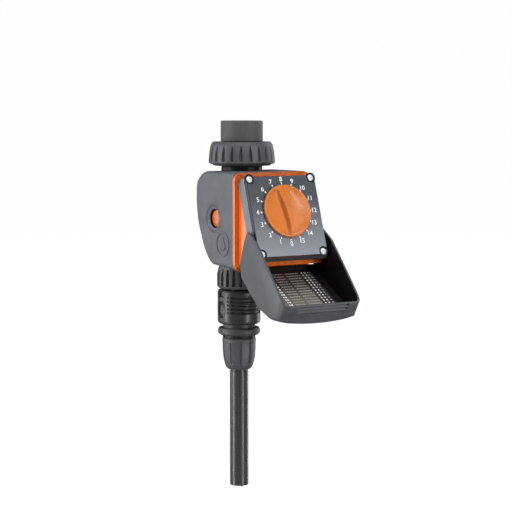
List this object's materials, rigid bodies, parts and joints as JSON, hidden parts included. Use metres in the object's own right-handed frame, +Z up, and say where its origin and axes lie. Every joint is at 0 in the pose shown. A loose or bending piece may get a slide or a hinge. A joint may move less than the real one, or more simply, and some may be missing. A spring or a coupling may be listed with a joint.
{
  "type": "drip irrigation timer",
  "caption": "Battery tap timer for drip irrigation with a dial, a flip-down cover, a tap adapter and a quick hose connector.",
  "frame": {"origin": "centre of the tap adapter's mouth, where the tap screws in", "axes": "+Z up along the tap's axis, -Y towards the dial side, +X to the right of the back"},
  "size_m": [0.075, 0.1537, 0.316],
  "materials": {
    "black_plastic": "fine spark-eroded black moulding",
    "dark_plastic": "satin charcoal moulding",
    "grey_plastic": "satin dark grey moulding",
    "light_grey_plastic": "satin mid grey moulding",
    "orange_plastic": "semi-gloss orange moulding",
    "white_plastic": "natural acetal moulding",
    "seal_rubber": "soft black rubber",
    "hose_rubber": "smooth extruded polyethylene, slight sheen",
    "screw_steel": "bright plated steel",
    "spring_steel": "drawn stainless wire and plate",
    "brass": "turned brass",
    "coil_winding": "varnished copper winding",
    "board": "green solder mask",
    "battery_jacket": "plain printed battery sleeve",
    "capacitor_sleeve": "shrunk plastic sleeve",
    "lead_wire": "insulated wire",
    "chart_print": "printed chart on a thin plastic sheet"
  },
  "bodies": {
    "housing": {"tap_adapter": "black_plastic", "tap_washer": "seal_rubber", "inlet_washer": "seal_rubber", "inlet_filter": "white_plastic", "inlet_spigot": "black_plastic", "inlet_oring": "seal_rubber", "rear_housing": "grey_plastic", "valve_body": "white_plastic", "diaphragm": "seal_rubber", "valve_bonnet": "white_plastic", "bonnet_screws": "screw_steel", "diaphragm_spring": "spring_steel", "solenoid_coil": "coil_winding", "solenoid_yoke": "spring_steel", "core_tube": "brass", "plunger_spring": "spring_steel", "pin_header": "black_plastic", "contact_pins": "brass", "outlet_spigot": "black_plastic", "outlet_oring": "seal_rubber"},
    "inlet_nut": {"inlet_nut": "dark_plastic"},
    "plunger": {"plunger": "spring_steel"},
    "valve_disc": {"valve_disc": "seal_rubber"},
    "control_unit": {"front_housing": "orange_plastic", "housing_seal": "seal_rubber", "latch_pins": "spring_steel", "battery_cradle": "black_plastic", "battery": "battery_jacket", "battery_clip": "black_plastic", "battery_leads": "lead_wire", "control_box": "light_grey_plastic", "panel_gasket": "seal_rubber", "face_plate": "grey_plastic", "panel_screws": "screw_steel", "circuit_board": "board", "microcontroller": "black_plastic", "capacitor": "capacitor_sleeve", "contact_socket": "black_plastic", "spindle_seal": "seal_rubber"},
    "selector": {"selector_knob": "orange_plastic", "knob_spindle": "white_plastic", "switch_wiper": "brass"},
    "cover": {"cover": "dark_plastic", "cover_pins": "black_plastic", "program_label": "chart_print"},
    "latch_left": {"release_latch_left": "orange_plastic"},
    "latch_right": {"release_latch_right": "orange_plastic"},
    "outlet_adapter": {"outlet_adapter": "dark_plastic", "outlet_washer": "seal_rubber", "nipple_oring": "seal_rubber"},
    "connector": {"connector_core": "black_plastic", "grip_claws": "white_plastic", "sleeve_spring": "spring_steel", "hose_collet": "white_plastic", "supply_hose": "hose_rubber"},
    "sleeve": {"connector_sleeve": "dark_plastic"},
    "hose_nut": {"hose_nut": "dark_plastic"}
  },
  "joints": [
    {"name": "inlet_nut_turn", "type": "hinge", "parent": "housing", "child": "inlet_nut", "pos_m": [0, 0, -0.028], "axis": [0, 0, 1], "continuous": true},
    {"name": "control_unit_slide", "type": "slide", "parent": "housing", "child": "control_unit", "axis": [0, -1, 0], "range_m": [0, 0.042]},
    {"name": "latch_left_press", "type": "hinge", "parent": "control_unit", "child": "latch_left", "pos_m": [-0.0294, -0.0442, -0.0815], "axis": [0, 0, -1], "range_deg": [0, 6], "stiffness_Nm_per_rad": 0.5},
    {"name": "latch_right_press", "type": "hinge", "parent": "control_unit", "child": "latch_right", "pos_m": [0.0294, -0.0442, -0.0815], "axis": [0, 0, 1], "range_deg": [0, 6], "stiffness_Nm_per_rad": 0.5},
    {"name": "selector_turn", "type": "hinge", "parent": "control_unit", "child": "selector", "pos_m": [0, -0.06973, -0.07357], "axis": [0, -0.9494, 0.314], "continuous": true},
    {"name": "cover_hinge", "type": "hinge", "parent": "control_unit", "child": "cover", "pos_m": [0, -0.07146, -0.10555], "axis": [-1, 0, 0], "range_deg": [0, 129]},
    {"name": "plunger_lift", "type": "slide", "parent": "housing", "child": "plunger", "axis": [0, -1, 0], "range_m": [0, 0.002], "stiffness_N_per_m": 150, "deforming": ["plunger_spring"]},
    {"name": "valve_lift", "type": "slide", "parent": "housing", "child": "valve_disc", "axis": [0, -1, 0], "range_m": [0, 0.002], "stiffness_N_per_m": 100, "deforming": ["diaphragm_spring"]},
    {"name": "outlet_adapter_turn", "type": "hinge", "parent": "housing", "child": "outlet_adapter", "pos_m": [0, 0.0047, -0.134], "axis": [0, 0, 1], "continuous": true},
    {"name": "connector_swivel", "type": "hinge", "parent": "outlet_adapter", "child": "connector", "pos_m": [0, 0.0047, -0.152], "axis": [0, 0, 1], "continuous": true},
    {"name": "sleeve_pull", "type": "slide", "parent": "connector", "child": "sleeve", "axis": [0, 0, -1], "range_m": [0, 0.003], "stiffness_N_per_m": 400, "deforming": ["sleeve_spring"]},
    {"name": "hose_nut_turn", "type": "hinge", "parent": "connector", "child": "hose_nut", "pos_m": [0, 0.0047, -0.2], "axis": [0, 0, 1], "continuous": true}
  ],
  "couplings": [
    {"joint": "valve_lift", "follows": "plunger_lift", "ratio": 1}
  ]
}
